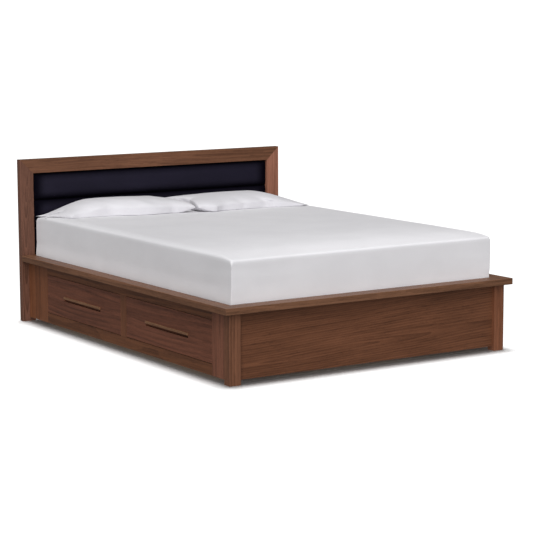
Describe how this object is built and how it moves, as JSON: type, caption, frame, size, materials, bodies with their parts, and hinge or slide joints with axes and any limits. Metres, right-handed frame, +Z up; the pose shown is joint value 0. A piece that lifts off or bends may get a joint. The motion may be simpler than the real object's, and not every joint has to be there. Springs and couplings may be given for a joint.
{
  "type": "platform bed with storage drawers",
  "caption": "Queen-size walnut platform bed with an upholstered panel headboard, a mattress ledge and inset side drawers, dressed with mattress and pillows.",
  "frame": {"origin": "on the floor, at the centre of the bed's outline", "axes": "+Y towards the headboard, +Z up, drawers open along -X on the left and +X on the right"},
  "size_m": [1.682, 2.171, 0.891],
  "materials": {
    "walnut_frame": "satin oiled walnut",
    "walnut_side": "satin oiled walnut",
    "walnut_foot": "satin oiled walnut veneer, figured",
    "walnut_ledge": "satin oiled walnut",
    "walnut_pull": "satin oiled walnut",
    "walnut_back": "plain walnut veneer on plywood",
    "drawer_wood": "clear-finished maple",
    "plywood": "clear-finished birch plywood",
    "slat_wood": "planed softwood",
    "leather": "smooth dark leather",
    "bolt_steel": "zinc plated",
    "slide_steel": "zinc plated",
    "bedding": "smooth cotton fitted sheet",
    "pillow_cotton": "cotton pillowcase"
  },
  "bodies": {
    "bed": {"headboard_left_stile": "walnut_frame", "headboard_right_stile": "walnut_frame", "headboard_top_rail": "walnut_frame", "headboard_lower_rail": "walnut_side", "headboard_back_board": "walnut_back", "headboard_channel_upper": "leather", "headboard_channel_middle": "leather", "headboard_channel_lower": "leather", "headboard_bolts": "bolt_steel", "ledge_left": "walnut_ledge", "ledge_right": "walnut_ledge", "ledge_foot": "walnut_ledge", "foot_panel": "walnut_foot", "foot_leg_left": "walnut_frame", "foot_leg_right": "walnut_frame", "left_head_stile": "walnut_side", "right_head_stile": "walnut_side", "left_foot_stile": "walnut_side", "right_foot_stile": "walnut_side", "left_top_rail": "walnut_side", "right_top_rail": "walnut_side", "bottom_rails": "walnut_side", "dividers": "walnut_side", "case_panels": "plywood", "case_backs": "plywood", "slats": "slat_wood", "slat_ledgers": "slat_wood", "centre_beam": "slat_wood", "slide_outers": "slide_steel", "mattress": "bedding", "left_pillow": "pillow_cotton", "right_pillow": "pillow_cotton"},
    "left_head_drawer": {"left_head_drawer_front": "walnut_side", "left_head_drawer_pull": "walnut_pull", "left_head_drawer_sides": "drawer_wood", "left_head_drawer_back": "drawer_wood", "left_head_drawer_bottom": "plywood", "left_head_drawer_slide_inner": "slide_steel"},
    "left_head_drawer_slides": {"left_head_drawer_slide_middle": "slide_steel"},
    "left_foot_drawer": {"left_foot_drawer_front": "walnut_side", "left_foot_drawer_pull": "walnut_pull", "left_foot_drawer_sides": "drawer_wood", "left_foot_drawer_back": "drawer_wood", "left_foot_drawer_bottom": "plywood", "left_foot_drawer_slide_inner": "slide_steel"},
    "left_foot_drawer_slides": {"left_foot_drawer_slide_middle": "slide_steel"},
    "right_head_drawer": {"right_head_drawer_front": "walnut_side", "right_head_drawer_pull": "walnut_pull", "right_head_drawer_sides": "drawer_wood", "right_head_drawer_back": "drawer_wood", "right_head_drawer_bottom": "plywood", "right_head_drawer_slide_inner": "slide_steel"},
    "right_head_drawer_slides": {"right_head_drawer_slide_middle": "slide_steel"},
    "right_foot_drawer": {"right_foot_drawer_front": "walnut_side", "right_foot_drawer_pull": "walnut_pull", "right_foot_drawer_sides": "drawer_wood", "right_foot_drawer_back": "drawer_wood", "right_foot_drawer_bottom": "plywood", "right_foot_drawer_slide_inner": "slide_steel"},
    "right_foot_drawer_slides": {"right_foot_drawer_slide_middle": "slide_steel"}
  },
  "joints": [
    {"name": "left_head_drawer_travel", "type": "slide", "parent": "bed", "child": "left_head_drawer", "axis": [-1, 0, 0], "range_m": [0, 0.46]},
    {"name": "left_head_drawer_slides_travel", "type": "slide", "parent": "bed", "child": "left_head_drawer_slides", "axis": [-1, 0, 0], "range_m": [0, 0.23]},
    {"name": "left_foot_drawer_travel", "type": "slide", "parent": "bed", "child": "left_foot_drawer", "axis": [-1, 0, 0], "range_m": [0, 0.46]},
    {"name": "left_foot_drawer_slides_travel", "type": "slide", "parent": "bed", "child": "left_foot_drawer_slides", "axis": [-1, 0, 0], "range_m": [0, 0.23]},
    {"name": "right_head_drawer_travel", "type": "slide", "parent": "bed", "child": "right_head_drawer", "axis": [1, 0, 0], "range_m": [0, 0.46]},
    {"name": "right_head_drawer_slides_travel", "type": "slide", "parent": "bed", "child": "right_head_drawer_slides", "axis": [1, 0, 0], "range_m": [0, 0.23]},
    {"name": "right_foot_drawer_travel", "type": "slide", "parent": "bed", "child": "right_foot_drawer", "axis": [1, 0, 0], "range_m": [0, 0.46]},
    {"name": "right_foot_drawer_slides_travel", "type": "slide", "parent": "bed", "child": "right_foot_drawer_slides", "axis": [1, 0, 0], "range_m": [0, 0.23]}
  ],
  "couplings": [
    {"joint": "left_head_drawer_slides_travel", "follows": "left_head_drawer_travel", "ratio": 0.5},
    {"joint": "left_foot_drawer_slides_travel", "follows": "left_foot_drawer_travel", "ratio": 0.5},
    {"joint": "right_head_drawer_slides_travel", "follows": "right_head_drawer_travel", "ratio": 0.5},
    {"joint": "right_foot_drawer_slides_travel", "follows": "right_foot_drawer_travel", "ratio": 0.5}
  ]
}
